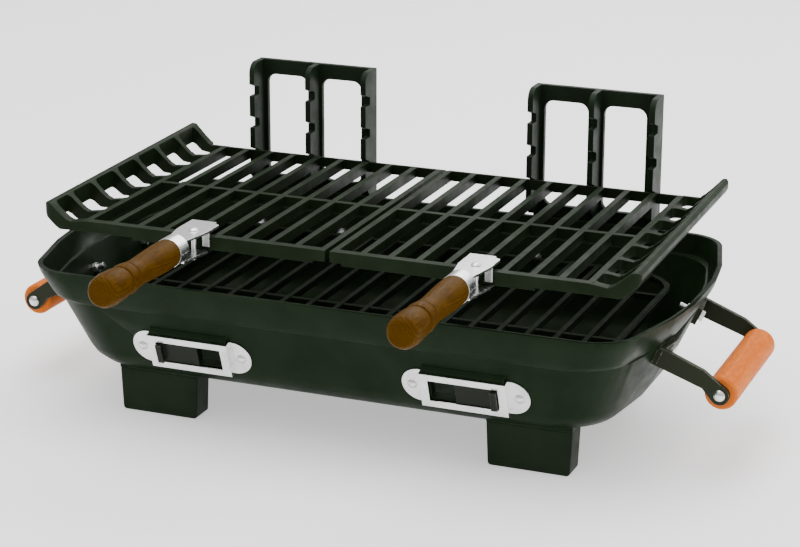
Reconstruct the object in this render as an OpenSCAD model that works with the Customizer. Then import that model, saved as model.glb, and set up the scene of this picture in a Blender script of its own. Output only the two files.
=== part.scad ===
// Cast-iron tabletop charcoal grill. A bowl on four block feet holds a loose fire grate. Two
// cooking grates hook into notched racks behind the bowl and carry clamp-on wooden handles. Each
// end has a wooden carrying grip, and the front wall has two sliding draught vents.
// Millimetres. The origin is on the table, under the middle of the overall box.
// +X is to the right as seen from the front, +Y to the back, +Z up.

/* [Bowl] */
// Length of the bowl over the middle of its bowed ends
bowl_l = 537; // [534:1:539]
// Depth of the bowl over its rim, front to back
bowl_w = 297.2; // [296:0.2:298]
// Radius of the bow of the two ends, in plan
end_bow = 381; // [370:1:400]
// Height of the rim above the table
rim_z = 126; // [125:0.5:128]
// Height of the bowl's underside above the table
floor_z = 36; // [34:0.5:37]
// Thickness of the cast walls
wall = 4; // [3.6:0.1:4.4]
// Slope of the end walls, from upright
end_slope = 24.5; // [24:0.1:25]
// Slope of the front and back walls, from upright
side_slope = 20; // [19.5:0.1:20.5]
// Radius of the rim's corners in plan
corner_r = 36.6; // [35:0.2:38]
// Radius between the walls and the floor
floor_r = 28; // [26:1:30]
// Height of the flared band under the rim
band_h = 27.5; // [27:0.5:28]

/* [Feet] */
// Width of a foot
foot_w = 69.4; // [64:0.2:72]
// Depth of a foot, front to back
foot_d = 22; // [20:0.5:24]
// Distance from the centre line to the middle of a foot
foot_x = 157.4; // [154:0.2:160]

/* [Cooking grates] */
// Distance between the centres of neighbouring bars
bar_pitch = 22.54; // [22:0.02:22.8]
// Number of straight bars in one grate
bar_count = 10; // [10:1:10]
// Width of a bar at its top
bar_w = 5; // [4:0.1:5.4]
// Height of a bar
bar_h = 8.7; // [8.5:0.05:8.8]
// Height of the cooking surface above the table
cook_z = 162.7; // [162.6:0.05:162.75]
// Depth of a cooking grate, front to back
grate_d = 260; // [259:0.5:260]
// How far the wing at the outer end rises above the bars
wing_rise = 16.4; // [15:0.1:18]

/* [Racks] */
// Width of one rack
rack_w = 110; // [109:0.5:110.5]
// Height of the rack's top edge above the table
rack_top = 240; // [238:0.5:242]
// Vertical distance between notches
notch_pitch = 28.4; // [28:0.1:28.6]
// Number of notches in each upright
notch_count = 3; // [3:1:3]

/* [Handles] */
// Distance from the centre line to a carrying grip's axis
grip_x = 293.5; // [292:0.5:296]
// Height of a carrying grip's axis above the table
grip_z = 67; // [65:0.5:69]
// Radius of a carrying grip
grip_r = 12.8; // [12:0.1:13.4]
// Length of a turned grate handle
handle_l = 118; // [112:1:124]
// Distance from the centre line to the left grate's handle
left_handle_x = 111; // [110:0.5:112]
// Distance from the centre line to the right grate's handle
right_handle_x = 121; // [120:0.5:121.5]

/* [Draught vents] */
// Distance from the centre line to the middle of a vent
vent_x = 114.6; // [112:0.2:117]
// Height of a vent's middle above the table
vent_z = 67.4; // [67:0.2:68]
// Travel of a shutter from open to closed
shutter_travel = 22; // [20:0.5:22]

/* [Hidden] */
$fn = 48;
CORNER_STEPS = 9;
EPS = 0.01;

CAST = [0.16, 0.18, 0.16];
ZINC = [0.82, 0.83, 0.82];
STRAP = [0.20, 0.20, 0.19];
WALNUT = [0.62, 0.42, 0.20];
BEECH = [0.88, 0.60, 0.38];

// Bolts: shank radius, clearance hole radius, head radius and head height
m5_r = 2.5;
m5_hole = 2.7;
m5_head_r = 4.6;
m5_head_h = 3.2;
m5_nut_af = 8;
m5_nut_h = 4;
m4_r = 2;
m4_hole = 2.2;
m4_head_r = 4.2;
m4_head_h = 2.4;
m4_nut_af = 7;
m4_nut_h = 3.2;
thread_out = 6;          // thread left showing past a nut

// Grate handle, measured from the middle of the cooking surface
handle_root = 162;       // near end of the turned grip
handle_z = 161;          // axis height
rack_back = 150;         // back face of the racks
// Moves the middle of the cooking surface so that the overall box is centred on the origin
mid_y = (handle_root + handle_l - rack_back - m5_head_h) / 2;
bowl_y = mid_y - 4.55;
bowl_x = -3;             // the bowl's middle lies a little left of the grates' meeting line
seat_gap = 0.03;         // kept between a bolted-on part and the face behind it

// Bowl profile: half sizes where the wall lines meet the underside
end_base = bowl_l / 2 - 43;
side_base = bowl_w / 2 - 34.7;
base_r = 46;             // plan radius of the wall's corners at the foot of the wall
ledge_z = rim_z - 16;    // floor of the pocket inside the flared band
rim_wall = 3.6;
// Flared band: drop below the rim, then how far it is set in lengthwise, in depth and at the corners
band_steps = [[EPS, 0, 0, 0], [5, 1.5, 1, 0], [10.5, 4.2, 2.8, 0], [16, 7.6, 5, 1],
              [22, 11.6, 7.6, 3], [25, 13.6, 9.4, 4], [band_h, 16.5, 11.2, -4]];
// Flat on the end walls where an arm is bolted on, from the bowl's middle
seat_ys = [32.5, 69.5];
seat_mid = (seat_ys[0] + seat_ys[1]) / 2;
seat_h = 14;
lug_xs = [-130, 0, 130];
boss_r = 9;
rack_bolt_dx = 38.5;     // half the spacing of a rack's two bolts
rack_bolt_shift = -5.5;  // their middle, from the rack's middle
rack_bolt_z = 96;
rack_x = 128.1;
rack_d = 26;
plate_t = 5;
rack_plate_y = mid_y + rack_back - plate_t;
foot_front_y = mid_y - 96;
foot_rear_y = mid_y + 78;

// Vent sizes in the plane of the front wall
vent_half_w = 34.75;
vent_half_h = 15.36;
vent_ear = 51.5;
vent_screw_x = 43;
sheet = 1.2;
window_half_w = 27.8;
window_half_h = 9.6;
pad_t = 3.5;
pad_half_w = 33.3;
rail_t = 1.7;
rail_z = 12.4;
shutter_t = 1.5;
face_out = 6.5;          // front of the vent frame above the wall
shutter_in = 7;          // inner end of the open shutter
tab_w = 5;
tab_out = 3;             // shutter tab stands this far past the frame

// Cooking grate
first_bar = bar_pitch / 2 - 6.6;
last_bar = first_bar + (bar_count - 1) * bar_pitch;
cross_w = 7;
edge_rib_w = 8;
wing_rib_w = 5.5;
wing_ribs = 6;
rear_rib_w = 7.4;
wing_rib_pitch = 37.2;
wing_corner = 7;
wing_drop = 5.3;         // the wing's outer edge sits this much lower at the front than at the back
strip_in = 31.5;         // inner face of the upturned end strip, from the last bar
strip_out = 38.5;
grate_front = mid_y - 127;
grate_back = grate_front + grate_d;
bar_bottom = cook_z - bar_h;
rear_w = 10;
rear_h = 6.35;           // height of the hooked rear bar at its back edge

// Rack notches, from the top edge down to the first ledge
notch_depth = 10;
notch_mouth = 10.2;
notch_throat = 6.4;
first_ledge = bar_bottom - 0.1;
upright_t = 4.8;
upright_xs = [0, 53.2, rack_w - upright_t];

// Fire grate
fire_pitch = 22.8;
fire_count = 20;
fire_top = 100;
fire_h = 6;
lug_z = fire_top - fire_h - 0.05;   // top of the lugs that carry the grate
fire_half_y = 116;
fire_cross_y = 58;
fire_shift = -4;         // it lies a little left of centre

// Carrying handles
arm_t = 4;
arm_y = 62;              // inner face of an arm, from the middle of the grip
grip_dy = 2.55;          // the grip's middle lies this far behind the bowl's
grip_y = bowl_y + grip_dy;
grip_gap = 0.5;
rod_r = 3;
rod_clear = 0.05;
arm_bolt_z = 92.4;
arm_bolt_in = 19;        // from an arm's inner face to its root bolt
tab_half_h = 7;

module mirror_left(side) {
    mirror([side < 0 ? 1 : 0, 0, 0]) children();
}

// Fasteners, along +Z from the bearing face of the head at z = 0 down to -length
module screw(r, length, head_r, head_h) {
    translate([0, 0, -length]) cylinder(r = r, h = length + EPS);
    intersection() {
        cylinder(r = head_r, h = head_h);
        translate([0, 0, head_h - head_r * 1.15]) sphere(r = head_r * 1.15);
    }
}

module hex_bolt(r, length, af, head_h) {
    translate([0, 0, -length]) cylinder(r = r, h = length + EPS);
    cylinder(r = af / sqrt(3), h = head_h, $fn = 6);
}

module hex_nut(af, h, hole) {
    difference() {
        cylinder(r = af / sqrt(3), h = h, $fn = 6);
        translate([0, 0, -1]) cylinder(r = hole, h = h + 2);
    }
}

module rounded_rect(w, d, r) {
    square([w - 2 * r, d], center = true);
    square([w, d - 2 * r], center = true);
    for (x = [-1, 1], y = [-1, 1])
        translate([x * (w / 2 - r), y * (d / 2 - r)]) circle(r);
}

// ---- Bowl ----

// How far a wall has come out from its foot line at height h, with the floor radius r
function wall_run(h, slope, r) =
    h >= r * (1 - sin(slope)) ? h * tan(slope)
    : r * tan(slope) - r / cos(slope) + r * sin(acos(1 - h / r));

function end_x(z) = end_base + wall_run(z - floor_z, end_slope, floor_r);
function side_y(z) = side_base + wall_run(z - floor_z, side_slope, floor_r);
function plan_r(half_x) = base_r + 0.13 * (half_x - end_base);

// How far a bowed end falls back at a distance y from the middle
function bow(y) = y * y / (2 * end_bow);

// Quarter of the plan outline: the bowed end as far as the corner, then the corner's arc
function quarter(half_x, half_y, r) =
    let (c = half_y - r, y = c / (1 - r / end_bow), a0 = atan(y / end_bow),
         x = half_x - bow(y) - r * cos(a0))
    concat([for (y = seat_ys) [half_x - bow(y), y]],
           [for (k = [0 : CORNER_STEPS]) let (a = a0 + (90 - a0) * k / CORNER_STEPS)
               [x + r * cos(a), c + r * sin(a)]]);
function flipped(q, sx, sy) = [for (p = q) [sx * p[0], sy * p[1]]];
function backwards(q) = [for (k = [len(q) - 1 : -1 : 0]) q[k]];

module slice(z, half_x, half_y, r) {
    q = quarter(half_x, half_y, r);
    translate([0, 0, z]) linear_extrude(EPS)
        polygon(concat(q, backwards(flipped(q, -1, 1)), flipped(q, -1, -1),
                       backwards(flipped(q, 1, -1))));
}

// Solid bounded by the sloping walls; t is how far it is set in from the outside
module wall_body(t, top) {
    r = floor_r - t;
    x0 = end_base + t * (tan(end_slope) - 1 / cos(end_slope));
    y0 = side_base + t * (tan(side_slope) - 1 / cos(side_slope));
    hull()
        for (a = [0, 18, 36, 54, 70, 90]) {
            h = a == 90 ? top - floor_z - t : r * (1 - cos(a));
            half_x = x0 + wall_run(h, end_slope, r);
            half_y = y0 + wall_run(h, side_slope, r);
            slice(floor_z + t + h, half_x, half_y, plan_r(half_x) - t);
        }
}

module rim_band() {
    hull()
        for (p = band_steps)
            slice(rim_z - p[0], bowl_l / 2 - p[1], bowl_w / 2 - p[2], corner_r - p[3]);
}

module rim_pocket() {
    hull() {
        slice(rim_z + 1, bowl_l / 2 - rim_wall, bowl_w / 2 - rim_wall, corner_r - rim_wall);
        slice(ledge_z, bowl_l / 2 - rim_wall - 8, bowl_w / 2 - rim_wall - 5.5,
              corner_r - rim_wall - 1);
    }
}

// Puts its children on the front wall: local -Y points straight out of the wall, local Z up it
module on_front_wall(x) {
    translate([x, bowl_y - side_y(vent_z), vent_z]) rotate([side_slope, 0, 0]) children();
}

module vent_pad() {
    rotate([90, 0, 90]) translate([0, 0, -pad_half_w]) linear_extrude(2 * pad_half_w)
        polygon([[2, -vent_half_h], [-pad_t, -vent_half_h], [-pad_t, vent_half_h + 1.5],
                 [-1, vent_half_h + 4.5], [2, vent_half_h + 4.5]]);
    for (s = [-1, 1])
        translate([-pad_half_w, -pad_t - rail_t, s > 0 ? rail_z : -vent_half_h])
            cube([2 * pad_half_w, rail_t + EPS, vent_half_h - rail_z]);
}

// The draught opening is at the end of the window nearest the centre line
module vent_opening() {
    translate([-window_half_w + 1, -pad_t - rail_t - 1, -window_half_h + 1])
        cube([shutter_travel - 1, pad_t + rail_t + wall + 4, 2 * window_half_h - 2]);
}

module wall_hole(length, r) {
    rotate([90, 0, 0]) cylinder(r = r, h = length, center = true);
}

// Coordinates of one end of the bowl: side is -1 left or 1 right, row -1 front or 1 rear
module bowl_end(side, row) {
    translate([bowl_x, bowl_y, 0]) mirror_left(side) mirror([0, row < 0 ? 1 : 0, 0]) children();
}

// Puts its children on the flat for an arm at the height of its bolt: local +X points straight
// out of the wall, local Y along it
seat_yaw = atan((bow(seat_ys[1]) - bow(seat_ys[0])) / (seat_ys[1] - seat_ys[0]));
seat_tilt = atan(tan(end_slope) * cos(seat_yaw));
function seat_x(z) = end_x(z) - (bow(seat_ys[0]) + bow(seat_ys[1])) / 2;
module on_arm_seat(side, row) {
    bowl_end(side, row) translate([seat_x(arm_bolt_z), seat_mid, arm_bolt_z])
        rotate([0, 0, seat_yaw]) rotate([0, seat_tilt, 0]) children();
}

// Distance along the flat from its middle, for a distance y from the middle of the grip
function on_seat(row, y) = (y + row * grip_dy - seat_mid) / cos(seat_yaw);

function rack_bolt_x(side) = side * rack_x + rack_bolt_shift;

module at_rack_bolts() {
    for (side = [-1, 1], s = [-1, 1])
        translate([rack_bolt_x(side) + s * rack_bolt_dx, 0, rack_bolt_z]) children();
}

module at_feet() {
    for (side = [-1, 1], y = [foot_front_y, foot_rear_y])
        translate([side * foot_x, y, 0]) children();
}

module bowl() {
    color(CAST) {
        difference() {
            union() {
                translate([bowl_x, bowl_y, 0]) {
                    wall_body(0, rim_z - band_h + 1);
                    rim_band();
                }
                at_feet() translate([-foot_w / 2, -foot_d / 2, floor_z])
                    cube([foot_w, foot_d, seat_h]);
                at_rack_bolts() translate([0, rack_plate_y, 0]) rotate([90, 0, 0])
                    cylinder(r = boss_r, h = 24);
                for (side = [-1, 1]) on_front_wall(side * vent_x) vent_pad();
            }
            translate([bowl_x, bowl_y, 0]) {
                wall_body(wall, ledge_z + EPS);
                rim_pocket();
            }
            for (side = [-1, 1])
                mirror_left(side) on_front_wall(vent_x) {
                    vent_opening();
                    for (s = [-1, 1]) translate([s * vent_screw_x, 0, 0]) wall_hole(24, m4_hole);
                }
            at_rack_bolts() translate([0, rack_plate_y - 15, 0]) wall_hole(50, m5_hole);
            at_arm_bolts() cylinder(r = m5_hole, h = 24, center = true);
            at_feet() {
                translate([0, 0, floor_z - 1]) cylinder(r = m5_hole, h = seat_h + 8);
                translate([0, 0, floor_z + wall]) cylinder(r = m5_head_r + 2, h = 24);
            }
        }
        for (x = lug_xs, s = [-1, 1])
            translate([x - 6, bowl_y + (s > 0 ? 113 : -131.5), lug_z - 8]) cube([12, 18.5, 8]);
    }
}

// ---- Fire grate ----

module fire_grate() {
    half_x = (fire_count - 1) / 2 * fire_pitch + 3;
    color(CAST) translate([fire_shift, bowl_y, fire_top - fire_h])
        intersection() {
            linear_extrude(fire_h) rounded_rect(2 * half_x, 2 * fire_half_y, 48);
            union() {
                for (k = [0 : fire_count - 1])
                    translate([-half_x + 1 + k * fire_pitch, -fire_half_y, 0])
                        cube([4, 2 * fire_half_y, fire_h]);
                for (y = [-fire_half_y, -fire_cross_y - 2, fire_cross_y - 2, fire_half_y - 5])
                    translate([-half_x, y, 0]) cube([2 * half_x, abs(y) > 60 ? 5 : 4, fire_h - 1]);
                difference() {
                    linear_extrude(fire_h - 1) rounded_rect(2 * half_x, 2 * fire_half_y, 48);
                    translate([0, 0, -1]) linear_extrude(fire_h + 2)
                        rounded_rect(2 * half_x - 9, 2 * fire_half_y - 9, 44);
                }
            }
        }
}

// ---- Cooking grates, right-hand casting; the left one is its mirror image ----

module long_bar(x) {
    translate([x, grate_front + cross_w / 2, cook_z]) rotate([-90, 0, 0])
        linear_extrude(grate_d - cross_w / 2 - rear_w + 0.2)
            polygon([[-bar_w / 2, 0], [bar_w / 2, 0], [bar_w / 2 - 0.7, bar_h],
                     [-bar_w / 2 + 0.7, bar_h]]);
}

// Stations across the wing: distance out from the last bar, then the top and the underside at
// the back end, measured from the bars' top. It dips, then slopes up to a rounded outer edge
wing_steps = [[0, 0, -bar_h], [14, -1.2, -8.3], [18, 1.2, -7.5], [23.5, 6.4, -6.7],
              [27, 10.1, -3.9], [strip_out - 6.3, wing_rise - 0.8, 1.7],
              [strip_out - 2.8, wing_rise, 5.2], [strip_out, wing_rise - 1.8, 10.5]];

// How much lower the wing is at its front end, at a distance x from the last bar
function wing_sink(x) = wing_drop * max(0, x - 10) / (strip_out - 10);

// Front face of rib k, from the grate's front edge
function rib_face(k) = grate_d - rear_rib_w - (wing_ribs - k) * wing_rib_pitch;

// The wing's solid body, with four corners at each station: front low, front high, back high, back low
module wing_body() {
    last = len(wing_steps) - 1;
    corners = [for (p = wing_steps) for (c = [[0, 2], [0, 1], [1, 1], [1, 2]])
        [last_bar + p[0], grate_front + c[0] * grate_d, cook_z + p[c[1]] - (1 - c[0]) * wing_sink(p[0])]];
    skin = [for (k = [0 : last - 1]) for (e = [[1, 2], [0, 1], [3, 0], [2, 3]]) for (t = [0, 1])
        t == 0 ? [4 * k + e[0], 4 * k + e[1], 4 * k + 4 + e[1]]
               : [4 * k + e[0], 4 * k + 4 + e[1], 4 * k + 4 + e[0]]];
    polyhedron(corners, concat([[2, 1, 0, 3]], skin,
                               [[4 * last + 1, 4 * last + 2, 4 * last + 3, 4 * last]]));
}

module wing() {
    intersection() {
        difference() {
            wing_body();
            for (k = [0 : wing_ribs]) {
                from = k == 0 ? edge_rib_w : rib_face(k - 1) + wing_rib_w;
                to = rib_face(k);
                translate([last_bar + (bar_w / 2 + strip_in) / 2, grate_front + (from + to) / 2,
                           cook_z - 20])
                    linear_extrude(60) rounded_rect(strip_in - bar_w / 2, to - from, 4);
            }
            translate([last_bar - 1, grate_back - rear_w, cook_z]) rotate([0, 90, 0])
                linear_extrude(17) polygon([[0, 0], [bar_h - rear_h, rear_w + 1], [-2, rear_w + 1],
                                            [-2, 0]]);
        }
        translate([0, grate_front + grate_d / 2, cook_z - 20]) linear_extrude(60)
            rounded_rect(2 * (last_bar + strip_out), grate_d, wing_corner);
    }
}

module cooking_grate() {
    x0 = first_bar - bar_w / 2;
    for (k = [0 : bar_count - 1]) long_bar(first_bar + k * bar_pitch);
    translate([x0, grate_front, bar_bottom]) cube([last_bar - x0 + EPS, cross_w, bar_h]);
    translate([12, grate_front, bar_bottom - 2]) cube([154, 4.5, 3]);
    translate([x0, mid_y - 2.5, bar_bottom + 1]) cube([last_bar - x0, 5, bar_h - 1]);
    translate([x0, 0, 0]) rotate([90, 0, 90]) linear_extrude(last_bar - x0 + EPS)
        polygon([[grate_back - rear_w, bar_bottom], [grate_back, bar_bottom],
                 [grate_back, bar_bottom + rear_h], [grate_back - rear_w, cook_z]]);
    wing();
}

module left_cooking_grate() color(CAST) mirror_left(-1) cooking_grate();
module right_cooking_grate() color(CAST) cooking_grate();

// ---- Racks: two identical castings ----

module rack_plate() {
    open_top = rack_top - 13;
    open_bottom = rim_z + 10;
    opens = [[8.2, upright_xs[1] - 6.5], [upright_xs[1] + upright_t + 2.3, upright_xs[2] - 8]];
    difference() {
        translate([0, rim_z - 42]) union() {
            translate([6, 0]) square([rack_w - 12, rack_top - rim_z + 42]);
            translate([0, 6]) square([rack_w, rack_top - rim_z + 36]);
            for (x = [6, rack_w - 6]) translate([x, 6]) circle(6);
        }
        for (o = opens)
            translate([(o[0] + o[1]) / 2, (open_top + open_bottom) / 2])
                rounded_rect(o[1] - o[0], open_top - open_bottom, 8);
    }
}

module upright_profile() {
    z0 = rim_z + 5;
    difference() {
        union() {
            translate([0, z0 + 8]) square([rack_d, rack_top - z0 - 18]);
            translate([10, rack_top - 12]) square([rack_d - 10, 12]);
            translate([10, rack_top - 10]) circle(10);
            polygon([[0, z0 + 9], [rack_d, z0 + 9], [rack_d, z0 - 8], [rack_d - plate_t, z0 - 8],
                     [rack_d - plate_t, z0 - 4], [8, z0]]);
        }
        for (k = [0 : notch_count - 1])
            translate([0, first_ledge + k * notch_pitch])
                polygon([[-1, 0], [notch_depth, 0], [notch_depth, notch_throat],
                         [0, notch_mouth], [-1, notch_mouth]]);
    }
}

module rack(side) {
    x0 = side * rack_x - rack_w / 2;
    translate([x0, 0, 0]) difference() {
        union() {
            translate([0, rack_plate_y + plate_t, 0]) rotate([90, 0, 0])
                linear_extrude(plate_t) rack_plate();
            for (x = upright_xs)
                translate([x, rack_plate_y + plate_t - rack_d, 0]) rotate([90, 0, 90])
                    linear_extrude(upright_t) upright_profile();
        }
        for (s = [-1, 1])
            translate([rack_w / 2 + rack_bolt_shift + s * rack_bolt_dx, rack_plate_y, rack_bolt_z])
                wall_hole(30, m5_hole);
    }
}

module left_rack() color(CAST) rack(-1);
module right_rack() color(CAST) rack(1);

module rack_bolts() {
    reach = plate_t + mid_y + rack_back - plate_t - (bowl_y + side_y(rack_bolt_z)) + wall
        + m5_nut_h + thread_out;
    color(ZINC) at_rack_bolts() translate([0, rack_plate_y + plate_t, 0]) rotate([-90, 0, 0])
        hex_bolt(m5_r, reach, m5_nut_af, m5_head_h);
}

module rack_nuts() {
    y = bowl_y + side_y(rack_bolt_z) - wall / cos(side_slope) - m5_nut_h - 1.9;
    color(ZINC) at_rack_bolts() translate([0, y + m5_nut_h, 0]) rotate([90, 0, 0])
        hex_nut(m5_nut_af, m5_nut_h, m5_r + EPS);
}

// ---- Feet ----

module foot(side, y) {
    taper = 1.5;
    round_r = 3;
    half = foot_w / 2;
    color(CAST) translate([side * foot_x, y, 0]) difference() {
        translate([0, foot_d / 2, 0]) rotate([90, 0, 0]) linear_extrude(foot_d) union() {
            polygon([[-half + taper, round_r], [half - taper, round_r], [half, floor_z],
                     [-half, floor_z]]);
            translate([-half + taper + round_r, 0]) square([2 * (half - taper - round_r), round_r + 1]);
            for (s = [-1, 1]) translate([s * (half - taper - round_r), round_r]) circle(round_r);
        }
        translate([0, 0, 12]) cylinder(r = m5_r + 0.1, h = floor_z);
    }
}

module front_left_foot() foot(-1, foot_front_y);
module front_right_foot() foot(1, foot_front_y);
module rear_left_foot() foot(-1, foot_rear_y);
module rear_right_foot() foot(1, foot_rear_y);

module foot_screws() {
    z = floor_z + wall + 0.02;
    color(ZINC) at_feet() translate([0, 0, z]) screw(m5_r, z - 16, m5_head_r, m5_head_h);
}

// ---- Draught vents ----

// Hat-shaped strip: two ears on the wall, two risers, and a raised face with a window
module vent_frame_profile() {
    translate([-vent_half_w, -face_out]) square([2 * vent_half_w, sheet]);
    for (s = [-1, 1]) {
        translate([s > 0 ? vent_half_w - sheet : -vent_half_w, -face_out])
            square([sheet, face_out - seat_gap]);
        translate([s > 0 ? vent_half_w - sheet : -vent_ear, -sheet])
            square([vent_ear - vent_half_w + sheet, sheet - seat_gap]);
    }
}

module vent_frame(side) {
    ear_c = vent_ear - vent_half_h;
    color(ZINC) on_front_wall(side * vent_x) difference() {
        intersection() {
            translate([0, 0, -vent_half_h]) linear_extrude(2 * vent_half_h) vent_frame_profile();
            rotate([90, 0, 0]) translate([0, 0, -1]) linear_extrude(face_out + 2) union() {
                square([2 * ear_c, 2 * vent_half_h], center = true);
                for (s = [-1, 1]) translate([s * ear_c, 0]) circle(vent_half_h);
            }
        }
        translate([-window_half_w, -face_out - 1, -window_half_h])
            cube([2 * window_half_w, sheet + 2, 2 * window_half_h]);
        for (s = [-1, 1]) translate([s * vent_screw_x, 0, 0]) wall_hole(10, m4_hole);
    }
}

module left_vent_frame() vent_frame(-1);
module right_vent_frame() vent_frame(1);

// Right-hand shutter, drawn open: its plate is at the outer end of the window
module vent_shutter() {
    back = -pad_t - 0.1;
    on_front_wall(vent_x) {
        translate([-shutter_in, back - shutter_t, -rail_z + 0.4])
            cube([pad_half_w - 3 + shutter_in, shutter_t, 2 * rail_z - 0.8]);
        translate([window_half_w - tab_w - 0.5, -face_out - tab_out, -window_half_h + 1])
            cube([tab_w, face_out + tab_out + back, 2 * window_half_h - 2]);
    }
}

module left_vent_shutter() color(STRAP) mirror_left(-1) vent_shutter();
module right_vent_shutter() color(STRAP) vent_shutter();

module at_vent_screws() {
    for (side = [-1, 1], s = [-1, 1])
        on_front_wall(side * vent_x) translate([s * vent_screw_x, 0, 0]) children();
}

module vent_screws() {
    color(ZINC) at_vent_screws() translate([0, -sheet, 0]) rotate([90, 0, 0])
        screw(m4_r, sheet + wall + m4_nut_h + 3, m4_head_r, m4_head_h);
}

module vent_nuts() {
    color(ZINC) at_vent_screws() translate([0, wall + m4_nut_h, 0]) rotate([90, 0, 0])
        hex_nut(m4_nut_af, m4_nut_h, m4_r + EPS);
}

// ---- Carrying handles ----

// A strap with a foot bent inwards along the flat on the end wall
module carry_arm(side, row) {
    end = grip_x - side * bowl_x;
    near = arm_y + row * grip_dy;
    root = seat_x(arm_bolt_z) - (near - seat_mid) * tan(seat_yaw) + 0.05;
    lean = tab_half_h * tan(end_slope);
    foot_in = on_seat(row, arm_y - arm_bolt_in - 7);
    foot_out = on_seat(row, arm_y + arm_t);
    color(STRAP) difference() {
        union() {
            bowl_end(side, row) translate([0, near + arm_t, 0]) rotate([90, 0, 0])
                linear_extrude(arm_t) union() {
                    polygon([[root - lean, arm_bolt_z - tab_half_h],
                             [root + lean, arm_bolt_z + tab_half_h], [end - 12.5, grip_z + 18.2],
                             [end + 5.6, grip_z + 5], [end - 6, grip_z - 4.6],
                             [end - 13.5, grip_z + 4.2]]);
                    translate([end, grip_z]) circle(7.5);
                }
            on_arm_seat(side, row) translate([seat_gap, foot_in, -tab_half_h])
                cube([arm_t - seat_gap, foot_out - foot_in, 2 * tab_half_h]);
        }
        bowl_end(side, row) translate([end, near + arm_t / 2, grip_z]) wall_hole(arm_t + 2, rod_r + 0.1);
        on_arm_seat(side, row) translate([0, on_seat(row, arm_y - arm_bolt_in), 0])
            rotate([0, 90, 0]) cylinder(r = m5_hole, h = 24, center = true);
    }
}

module left_front_arm() carry_arm(-1, -1);
module left_rear_arm() carry_arm(-1, 1);
module right_front_arm() carry_arm(1, -1);
module right_rear_arm() carry_arm(1, 1);

module carry_grip() {
    half = arm_y - grip_gap;
    color(BEECH) translate([grip_x, grip_y, grip_z]) rotate([90, 0, 0]) rotate_extrude()
        polygon([[rod_r + rod_clear, -half], [grip_r - 1.5, -half], [grip_r, -half + 1.5],
                 [grip_r, half - 1.5], [grip_r - 1.5, half], [rod_r + rod_clear, half]]);
}

module left_carry_grip() mirror_left(-1) carry_grip();
module right_carry_grip() carry_grip();

module grip_rod() {
    length = 2 * (arm_y + arm_t) + m5_nut_h + 3;
    color(ZINC) translate([grip_x, grip_y - arm_y - arm_t, grip_z]) rotate([90, 0, 0])
        screw(rod_r, length, 5, 2.6);
}

module left_grip_rod() mirror_left(-1) grip_rod();
module right_grip_rod() grip_rod();

module grip_rod_nuts() {
    color(ZINC) for (side = [-1, 1])
        mirror_left(side) translate([grip_x, grip_y + arm_y + arm_t + m5_nut_h, grip_z])
            rotate([90, 0, 0]) hex_nut(10, m5_nut_h, rod_r + EPS);
}

module at_arm_bolts() {
    for (side = [-1, 1], row = [-1, 1])
        on_arm_seat(side, row) translate([0, on_seat(row, arm_y - arm_bolt_in), 0])
            rotate([0, 90, 0]) children();
}

module arm_bolts() {
    color(ZINC) at_arm_bolts() translate([0, 0, arm_t])
        hex_bolt(m5_r, arm_t + wall + m5_nut_h + thread_out, m5_nut_af, m5_head_h);
}

module arm_nuts() {
    color(ZINC) at_arm_bolts() translate([0, 0, -wall - m5_nut_h])
        hex_nut(m5_nut_af, m5_nut_h, m5_r + EPS);
}

// ---- Grate handles: turned wood in a two-part pressed clamp ----

tenon_r = 10;
collar_t = 1.5;
collar_l = 12;
clamp_t = 2;
clamp_back = 106;        // back of the clamp's jaws, from the middle of the cooking surface
clamp_bolt_y = 133;
clamp_bolt_x = 1.5;
top_plate_z = 166;
jaw_z = bar_bottom - 2.2;

module at_handle(x) translate([x, mid_y, 0]) children();

// Turned outline: distance from the far end, then radius
turned = [[0, 8.5], [1.2, 10.2], [5, 12], [13, 12.8], [26, 12.2], [31, 11.4], [32, 10.6],
          [33, 11.6], [38, 12], [43, 11.4], [44, 10.4], [45, 11], [56, 10.2], [75, 11],
          [92, 11.6], [handle_l - collar_l, 11.4], [handle_l - collar_l, tenon_r],
          [handle_l, tenon_r]];

module grate_handle(x) {
    color(WALNUT) at_handle(x) translate([0, -handle_root - handle_l, handle_z])
        rotate([-90, 0, 0]) rotate_extrude()
            polygon(concat([[0, 0]], [for (p = turned) [p[1], p[0]]], [[0, handle_l]]));
}

// Half of the collar round the tenon, with the half disc that closes it; up is 1 or -1
module half_collar(up) {
    outer = tenon_r + 0.1 + collar_t;
    translate([0, -handle_root - collar_l, handle_z]) intersection() {
        difference() {
            rotate([-90, 0, 0]) cylinder(r = outer, h = collar_l + clamp_t);
            translate([0, -1, 0]) rotate([-90, 0, 0])
                cylinder(r = tenon_r + 0.1, h = collar_l + 1.1);
        }
        translate([-outer - 1, -1, up > 0 ? 0.3 : -outer - 1])
            cube([2 * outer + 2, collar_l + clamp_t + 2, outer + 0.7]);
    }
}

module clamp_top(x) {
    neck_y = handle_root - clamp_t / 2;
    color(ZINC) at_handle(x) difference() {
        union() {
            half_collar(1);
            translate([0, 0, top_plate_z]) linear_extrude(clamp_t)
                polygon([[-8, -neck_y], [8, -neck_y], [13, -clamp_back - 26], [13, -clamp_back - 6],
                         [8, -clamp_back - 3], [8, -clamp_back], [-13, -clamp_back],
                         [-13, -clamp_back - 26]]);
            translate([-13, -clamp_back - clamp_t, cook_z + 0.05])
                cube([21, clamp_t, top_plate_z - cook_z]);
            translate([7, -clamp_bolt_y + 3.5, bar_bottom + 1]) cube([6, clamp_t, top_plate_z - bar_bottom]);
        }
        translate([clamp_bolt_x, -clamp_bolt_y, top_plate_z - 1]) cylinder(r = m4_hole, h = 4);
    }
}

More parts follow.
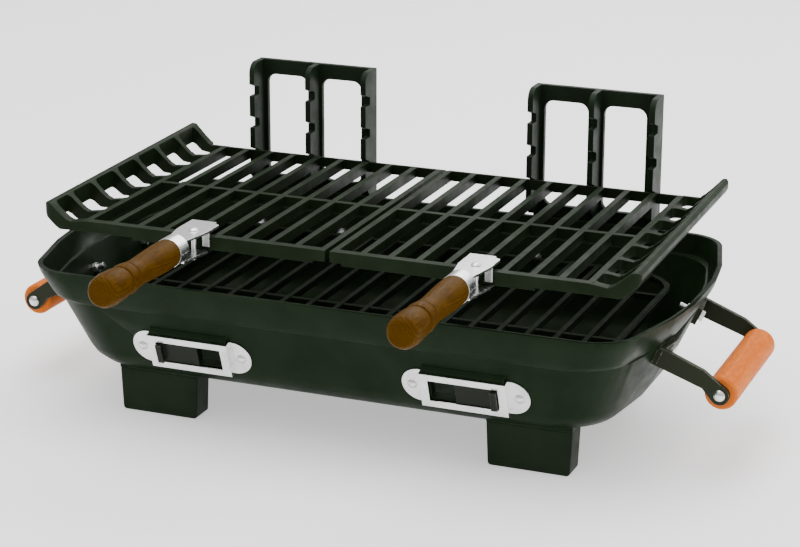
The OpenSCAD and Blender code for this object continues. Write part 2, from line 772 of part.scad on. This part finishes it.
module clamp_jaw(x) {
    neck_y = handle_root - clamp_t / 2;
    color(ZINC) at_handle(x) difference() {
        union() {
            half_collar(-1);
            translate([0, 0, jaw_z - clamp_t]) linear_extrude(clamp_t)
                polygon([[-7, -neck_y], [7, -neck_y], [12, -clamp_back - 26], [12, -clamp_back - 8],
                         [-12.4, -clamp_back - 8], [-12.4, -clamp_back - 26]]);
            for (p = [[-12.4, 2.6], [1.4, 10.6]])
                translate([p[0], -clamp_back - 10, jaw_z - clamp_t]) cube([p[1], clamp_t, 9]);
        }
        translate([clamp_bolt_x, -clamp_bolt_y, jaw_z - clamp_t - 1]) cylinder(r = m4_hole, h = 4);
    }
}

module clamp_bolt(x) {
    z = top_plate_z + clamp_t;
    color(ZINC) at_handle(x) translate([clamp_bolt_x, -clamp_bolt_y, z])
        screw(m4_r, z - jaw_z + clamp_t + m4_nut_h + 2, m4_head_r, m4_head_h);
}

module clamp_nut(x) {
    color(ZINC) at_handle(x) translate([clamp_bolt_x, -clamp_bolt_y, jaw_z - clamp_t - m4_nut_h])
        hex_nut(m4_nut_af, m4_nut_h, m4_r + EPS);
}

module left_grate_handle() grate_handle(-left_handle_x);
module right_grate_handle() grate_handle(right_handle_x);
module left_clamp_top() clamp_top(-left_handle_x);
module right_clamp_top() clamp_top(right_handle_x);
module left_clamp_jaw() clamp_jaw(-left_handle_x);
module right_clamp_jaw() clamp_jaw(right_handle_x);
module left_clamp_bolt() clamp_bolt(-left_handle_x);
module right_clamp_bolt() clamp_bolt(right_handle_x);
module left_clamp_nut() clamp_nut(-left_handle_x);
module right_clamp_nut() clamp_nut(right_handle_x);

bowl();
fire_grate();
left_cooking_grate();
right_cooking_grate();
left_rack();
right_rack();
rack_bolts();
rack_nuts();
front_left_foot();
front_right_foot();
rear_left_foot();
rear_right_foot();
foot_screws();
left_vent_frame();
right_vent_frame();
left_vent_shutter();
right_vent_shutter();
vent_screws();
vent_nuts();
left_carry_grip();
right_carry_grip();
left_grip_rod();
right_grip_rod();
grip_rod_nuts();
left_front_arm();
left_rear_arm();
right_front_arm();
right_rear_arm();
arm_bolts();
arm_nuts();
left_grate_handle();
right_grate_handle();
left_clamp_top();
right_clamp_top();
left_clamp_jaw();
right_clamp_jaw();
left_clamp_bolt();
right_clamp_bolt();
left_clamp_nut();
right_clamp_nut();
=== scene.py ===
import math

import bpy
from mathutils import Matrix, Vector

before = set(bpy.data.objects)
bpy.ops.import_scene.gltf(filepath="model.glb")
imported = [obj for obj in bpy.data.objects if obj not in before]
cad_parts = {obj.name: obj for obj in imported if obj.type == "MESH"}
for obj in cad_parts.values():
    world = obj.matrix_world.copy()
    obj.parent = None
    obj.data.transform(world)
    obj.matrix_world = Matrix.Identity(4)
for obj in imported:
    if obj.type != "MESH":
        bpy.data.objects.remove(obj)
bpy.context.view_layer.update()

MM = 0.001
MID_Y = 63.4    # middle of the cooking surface, mm


# ---------------------------------------------------------------- node helpers

class Graph:
    """A small wrapper that makes shader nodes and links them."""

    def __init__(self, name):
        self.mat = bpy.data.materials.new(name)
        self.mat.use_nodes = True
        self.tree = self.mat.node_tree
        self.bsdf = self.tree.nodes["Principled BSDF"]
        self.coord = self.tree.nodes.new("ShaderNodeTexCoord")

    def node(self, kind, **values):
        n = self.tree.nodes.new(kind)
        for key, value in values.items():
            if key in n.inputs:
                n.inputs[key].default_value = value
            else:
                setattr(n, key, value)
        return n

    def link(self, a, b):
        self.tree.links.new(a, b)

    def mapped(self, scale, rotation=(0, 0, 0)):
        m = self.node("ShaderNodeMapping")
        m.inputs["Scale"].default_value = scale
        m.inputs["Rotation"].default_value = rotation
        self.link(self.coord.outputs["Object"], m.inputs["Vector"])
        return m.outputs["Vector"]

    def noise(self, scale, detail=3.0, rough=0.5, vector=None):
        n = self.node("ShaderNodeTexNoise", Scale=scale, Detail=detail, Roughness=rough)
        self.link(vector or self.coord.outputs["Object"], n.inputs["Vector"])
        return n.outputs["Fac"]

    def ramp(self, fac, *stops):
        n = self.node("ShaderNodeValToRGB")
        e = n.color_ramp.elements
        while len(e) < len(stops):
            e.new(0.5)
        for item, (pos, value) in zip(e, stops):
            item.position = pos
            c = value if isinstance(value, tuple) else (value, value, value)
            item.color = (*c, 1)
        self.link(fac, n.inputs["Fac"])
        return n.outputs["Color"]

    def mix(self, fac, a, b):
        n = self.node("ShaderNodeMix", data_type="RGBA")
        for socket, value in ((n.inputs[0], fac), (n.inputs[6], a), (n.inputs[7], b)):
            if hasattr(value, "is_linked"):
                self.link(value, socket)
            elif isinstance(value, tuple):
                socket.default_value = (*value, 1)
            else:
                socket.default_value = value
        return n.outputs[2]

    def math(self, op, a, b):
        n = self.node("ShaderNodeMath", operation=op)
        for socket, value in ((n.inputs[0], a), (n.inputs[1], b)):
            if hasattr(value, "is_linked"):
                self.link(value, socket)
            else:
                socket.default_value = value
        return n.outputs[0]

    def edge(self, radius, low=0.02, high=0.25):
        """0 on flats, 1 on edges within radius, from the rounded normal."""
        bevel = self.node("ShaderNodeBevel", samples=4, Radius=radius)
        geo = self.node("ShaderNodeNewGeometry")
        dot = self.node("ShaderNodeVectorMath", operation="DOT_PRODUCT")
        self.link(bevel.outputs["Normal"], dot.inputs[0])
        self.link(geo.outputs["Normal"], dot.inputs[1])
        away = self.math("SUBTRACT", 1.0, dot.outputs["Value"])
        n = self.node("ShaderNodeMapRange")
        n.inputs["From Min"].default_value = low
        n.inputs["From Max"].default_value = high
        self.link(away, n.inputs["Value"])
        return n.outputs["Result"]

    def bump(self, height, distance, strength=1.0, normal=None):
        n = self.node("ShaderNodeBump", Strength=strength, Distance=distance)
        self.link(height, n.inputs["Height"])
        if normal:
            self.link(normal, n.inputs["Normal"])
        return n.outputs["Normal"]

    def out(self, **sockets):
        for key, value in sockets.items():
            socket = self.bsdf.inputs[key.replace("_", " ")]
            if hasattr(value, "is_linked"):
                self.link(value, socket)
            elif isinstance(value, tuple):
                socket.default_value = (*value, 1)
            else:
                socket.default_value = value
        return self.mat


def cast_iron(name, base, light, rough=0.5, grain=0.00012, edge_wear_and_highlight=0.5, gloss=0.11, lip=0.0012):
    """Seasoned sand casting: fine grain, faint blotches, and paler edges that are partly rubbed
    metal and partly a painted highlight of the studio along them.
    """
    g = Graph(name)
    blotch = g.noise(28, 5, 0.6)
    fine = g.noise(900, 2, 0.6)
    pits = g.noise(2300, 2, 0.5)
    tone = g.mix(g.ramp(blotch, (0.35, 0.0), (0.7, 1.0)), base, light)
    # The paler edge tone is partly rubbed metal and partly a painted highlight: the studio's
    # reflection along the edges is painted into the colour.
    edge = g.math("MULTIPLY", g.edge(lip), g.ramp(g.noise(120, 3), (0.3, 0.3), (0.7, 1.0)))
    worn_and_highlight_tone = tuple(min(1.0, c * 2.4 + 0.02) for c in light)
    color = g.mix(g.math("MULTIPLY", edge, edge_wear_and_highlight), tone, worn_and_highlight_tone)
    height = g.math("ADD", fine, g.math("MULTIPLY", pits, 0.45))
    soft = g.node("ShaderNodeBevel", samples=4, Radius=lip / 2)
    normal = g.bump(height, grain, 0.8, soft.outputs["Normal"])
    roughness = g.ramp(g.noise(70, 4), (0.3, rough - 0.07), (0.7, rough + 0.08))
    return g.out(Base_Color=color, Roughness=roughness, Normal=normal,
                 Specular_IOR_Level=gloss, Specular_Tint=(0.90, 1.0, 0.80))


def plated(name, base, rough=0.25, brush=0.00002):
    """Bright zinc or nickel plate over pressed steel, with fine scratches and dull spots."""
    g = Graph(name)
    dull = g.noise(90, 4, 0.6)
    scratch = g.noise(300, 2, 0.5, g.mapped((1, 14, 6), (0.2, 0.3, 0.5)))
    dark = tuple(c * 0.72 for c in base)
    color = g.mix(g.ramp(dull, (0.42, 0.0), (0.75, 0.7)), base, dark)
    roughness = g.math("ADD", g.ramp(dull, (0.3, rough * 0.8), (0.75, rough * 1.5)),
                       g.math("MULTIPLY", scratch, 0.08))
    soft = g.node("ShaderNodeBevel", samples=4, Radius=0.0003)
    normal = g.bump(scratch, brush, 0.6, soft.outputs["Normal"])
    return g.out(Base_Color=color, Metallic=1.0, Roughness=roughness, Normal=normal)


def strap_paint(name, base):
    """Thin dark paint on a steel strap, rubbed at its edges."""
    g = Graph(name)
    mottled = g.noise(140, 4, 0.6)
    edge = g.math("MULTIPLY", g.edge(0.0008), g.ramp(g.noise(400, 3), (0.4, 0.0), (0.65, 1.0)))
    tone = g.mix(mottled, base, tuple(c * 1.7 for c in base))
    color = g.mix(edge, tone, (0.32, 0.31, 0.30))
    normal = g.bump(g.noise(1500, 2), 0.00004)
    return g.out(Base_Color=color, Metallic=0.35,
                 Roughness=g.ramp(mottled, (0.3, 0.36), (0.7, 0.52)), Normal=normal,
                 Specular_IOR_Level=0.22, Specular_Tint=(0.95, 1.0, 0.80))


def wood(name, pale, dark, centre, sheen=0.35, ring=150, streak=0.55, gloss=0.2):
    """Turned hardwood with its grain along Y: rings about a pith line, and pores."""
    g = Graph(name)
    m = g.node("ShaderNodeMapping")
    m.inputs["Location"].default_value = (-centre[0], 0, -centre[2])
    g.link(g.coord.outputs["Object"], m.inputs["Vector"])
    stretch = g.node("ShaderNodeMapping")
    stretch.inputs["Scale"].default_value = (1, 0.09, 1)
    g.link(m.outputs["Vector"], stretch.inputs["Vector"])
    warp = g.node("ShaderNodeTexNoise", Scale=60, Detail=3)
    g.link(stretch.outputs["Vector"], warp.inputs["Vector"])
    bent = g.node("ShaderNodeVectorMath", operation="MULTIPLY_ADD")
    g.link(warp.outputs["Color"], bent.inputs[0])
    bent.inputs[1].default_value = (0.012, 0.0, 0.012)
    g.link(stretch.outputs["Vector"], bent.inputs[2])
    rings = g.node("ShaderNodeTexWave", wave_type="RINGS", rings_direction="Y", Scale=ring,
                   Distortion=2.5, Detail=2)
    g.link(bent.outputs["Vector"], rings.inputs["Vector"])
    fibre = g.noise(1400, 3, 0.6, stretch.outputs["Vector"])
    pores = g.noise(3000, 2, 0.7, stretch.outputs["Vector"])
    tone = g.mix(g.math("MULTIPLY", rings.outputs["Fac"], streak), pale, dark)
    tone = g.mix(g.ramp(fibre, (0.35, 0.0), (0.75, 0.6)), tone, tuple(c * 0.6 for c in dark))
    blot = g.noise(45, 3)
    tone = g.mix(g.ramp(blot, (0.4, 0.0), (0.8, 0.35)), tone, dark)
    height = g.math("ADD", g.math("MULTIPLY", fibre, 0.6), g.math("MULTIPLY", pores, 0.5))
    normal = g.bump(height, 0.00009, 0.7)
    rough = g.ramp(fibre, (0.3, sheen), (0.7, sheen + 0.16))
    return g.out(Base_Color=tone, Roughness=rough, Normal=normal, Specular_IOR_Level=gloss,
                 Specular_Tint=(1.0, 0.72, 0.30))


IRON = cast_iron("seasoned_iron", (0.0062, 0.0125, 0.0060), (0.0115, 0.0200, 0.0100), 0.46,
                 gloss=0.09)
# The grate bars get more of the paler edge tone, which is rubbed metal plus a painted highlight.
BAR_IRON = cast_iron("grate_iron", (0.0060, 0.0120, 0.0045), (0.0120, 0.0200, 0.0090), 0.44,
                     edge_wear_and_highlight=0.7, gloss=0.06)
BOWL_IRON = cast_iron("bowl_iron", (0.0040, 0.0105, 0.0035), (0.0075, 0.0160, 0.0060), 0.40,
                      grain=0.00008, gloss=0.07, lip=0.0024)
SOOTY_IRON = cast_iron("sooty_iron", (0.0045, 0.0080, 0.0040), (0.0100, 0.0150, 0.0085), 0.62,
                       gloss=0.05)
PLATE = plated("bright_plate", (0.90, 0.91, 0.90), 0.2)
ZINC = plated("zinc_fastener", (0.78, 0.79, 0.78), 0.26)
SHUTTER = strap_paint("shutter_black", (0.006, 0.008, 0.006))
STRAP = strap_paint("arm_black", (0.010, 0.012, 0.006))
WALNUT_PALE, WALNUT_DARK = (0.092, 0.041, 0.002), (0.036, 0.015, 0.001)
WALNUT_L = wood("turned_walnut_left", WALNUT_PALE, WALNUT_DARK, (-0.111, 0, 0.161),
                sheen=0.30, streak=0.45, gloss=0.03)
WALNUT_R = wood("turned_walnut_right", WALNUT_PALE, WALNUT_DARK, (0.121, 0, 0.161),
                sheen=0.30, streak=0.45, gloss=0.03)
BEECH = wood("turned_beech", (0.76, 0.20, 0.030), (0.58, 0.11, 0.014), (0.2935, 0, 0.067), ring=110,
             streak=0.4, gloss=0.02)


# ---------------------------------------------------------------- CAD nodes that stay

WELD_DISTANCE = 0.00001     # metres
FLAT_ANGLE = 1.0            # faces this close to flat are joined, degrees
BEVEL_ANGLE = 30            # edges sharper than this are rounded, degrees
BEVEL_SEGMENTS = 2


def soften(node, width_mm, material):
    """Rounds a CAD node's edges with modifiers and gives it its material."""
    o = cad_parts[node]
    weld = o.modifiers.new("weld", "WELD")
    weld.merge_threshold = WELD_DISTANCE
    flat = o.modifiers.new("flat", "DECIMATE")
    flat.decimate_type = "DISSOLVE"
    flat.angle_limit = math.radians(FLAT_ANGLE)
    bevel = o.modifiers.new("bevel", "BEVEL")
    bevel.width = width_mm * MM
    bevel.segments = BEVEL_SEGMENTS
    bevel.limit_method = "ANGLE"
    bevel.angle_limit = math.radians(BEVEL_ANGLE)
    bevel.harden_normals = False
    for p in o.data.polygons:
        p.use_smooth = True
    normals = o.modifiers.new("normals", "WEIGHTED_NORMAL")
    normals.keep_sharp = True
    o.data.materials.clear()
    o.data.materials.append(material)


# Edge rounding in mm, material, nodes
FINISHES = [
    (0.5, IRON, ["left_rack", "right_rack"]),
    (1.2, IRON, ["front_left_foot", "front_right_foot", "rear_left_foot", "rear_right_foot"]),
    (0.8, BAR_IRON, ["left_cooking_grate", "right_cooking_grate"]),
    (0.6, SOOTY_IRON, ["fire_grate"]),
    (0.3, BOWL_IRON, ["bowl"]),
    (0.5, STRAP, ["left_front_arm", "left_rear_arm", "right_front_arm", "right_rear_arm"]),
    (0.3, PLATE, ["left_vent_frame", "right_vent_frame", "left_clamp_top", "right_clamp_top",
                  "left_clamp_jaw", "right_clamp_jaw"]),
    (0.4, SHUTTER, ["left_vent_shutter", "right_vent_shutter"]),
    (0.35, ZINC, ["rack_bolts", "rack_nuts", "foot_screws", "vent_screws", "vent_nuts",
                  "left_grip_rod", "right_grip_rod", "grip_rod_nuts", "arm_bolts", "arm_nuts",
                  "left_clamp_bolt", "right_clamp_bolt", "left_clamp_nut", "right_clamp_nut"]),
    (0.2, WALNUT_L, ["left_grate_handle"]),
    (0.2, WALNUT_R, ["right_grate_handle"]),
    (0.3, BEECH, ["left_carry_grip", "right_carry_grip"]),
]
for width_mm, material, nodes in FINISHES:
    for n in nodes:
        soften(n, width_mm, material)


# ---------------------------------------------------------------- stage, light and camera

FLOOR_SIZE = 12.0       # metres
FLOOR_GAP = 0.0002      # the floor lies this far under the feet
HORIZON = 0.35          # grey of the sky at the horizon, white overhead
SKY_STRENGTH = 1.15
CAMERA_RIGHT = Vector((0.92799, 0.37259, 0.0032))
CAMERA_UP = Vector((-0.11708, 0.28343, 0.95182))
CAMERA_AT = Vector((0.67998, -1.67629 + MID_Y * MM, 0.68983))
LENS_MM = 105.23


def make_floor():
    bpy.ops.mesh.primitive_plane_add(size=FLOOR_SIZE, location=(0, 0, -FLOOR_GAP))
    floor = bpy.context.object
    floor.name = "floor"
    g = Graph("pale_floor")
    tone = g.mix(g.noise(3, 2), (0.86, 0.86, 0.86), (0.9, 0.9, 0.9))
    floor.data.materials.append(g.out(Base_Color=tone, Roughness=0.7, Emission_Color=(1, 1, 1),
                                      Emission_Strength=0.6))


def area(name, location, target, size, power):
    data = bpy.data.lights.new(name, "AREA")
    data.shape = "RECTANGLE"
    data.size, data.size_y = size
    data.energy = power
    o = bpy.data.objects.new(name, data)
    bpy.context.scene.collection.objects.link(o)
    o.location = location
    o.rotation_euler = (Vector(target) - Vector(location)).to_track_quat("-Z", "Y").to_euler()


def make_light():
    """A bright overhead studio: white sky, a little dimmer towards the horizon."""
    world = bpy.data.worlds.new("studio")
    bpy.context.scene.world = world
    world.use_nodes = True
    tree = world.node_tree
    coord = tree.nodes.new("ShaderNodeTexCoord")
    split = tree.nodes.new("ShaderNodeSeparateXYZ")
    tree.links.new(coord.outputs["Generated"], split.inputs[0])
    ramp = tree.nodes.new("ShaderNodeValToRGB")
    low, high = ramp.color_ramp.elements
    low.position, low.color = 0.0, (HORIZON, HORIZON, HORIZON, 1)
    high.position, high.color = 0.7, (1, 1, 1, 1)
    tree.links.new(split.outputs["Z"], ramp.inputs["Fac"])
    background = tree.nodes["Background"]
    tree.links.new(ramp.outputs["Color"], background.inputs["Color"])
    background.inputs["Strength"].default_value = SKY_STRENGTH
    area("top_soft", (-0.2, 0.1, 2.2), (0, 0, 0.1), (2.2, 1.8), 46)
    area("back_soft", (0.3, 2.0, 1.5), (0, 0.1, 0.15), (2.4, 1.0), 26)
    area("right_soft", (2.1, 0.6, 0.9), (0, 0, 0.1), (1.0, 1.2), 12)


def make_camera():
    """At the photograph's viewing angle."""
    forward = CAMERA_RIGHT.cross(CAMERA_UP) * -1
    data = bpy.data.cameras.new("camera")
    data.sensor_width = 36
    data.lens = LENS_MM
    data.clip_start, data.clip_end = 0.05, 50
    o = bpy.data.objects.new("camera", data)
    bpy.context.scene.collection.objects.link(o)
    m = Matrix((CAMERA_RIGHT, CAMERA_UP, -forward)).transposed().to_4x4()
    m.translation = CAMERA_AT
    o.matrix_world = m
    bpy.context.scene.camera = o


make_floor()
make_light()
make_camera()
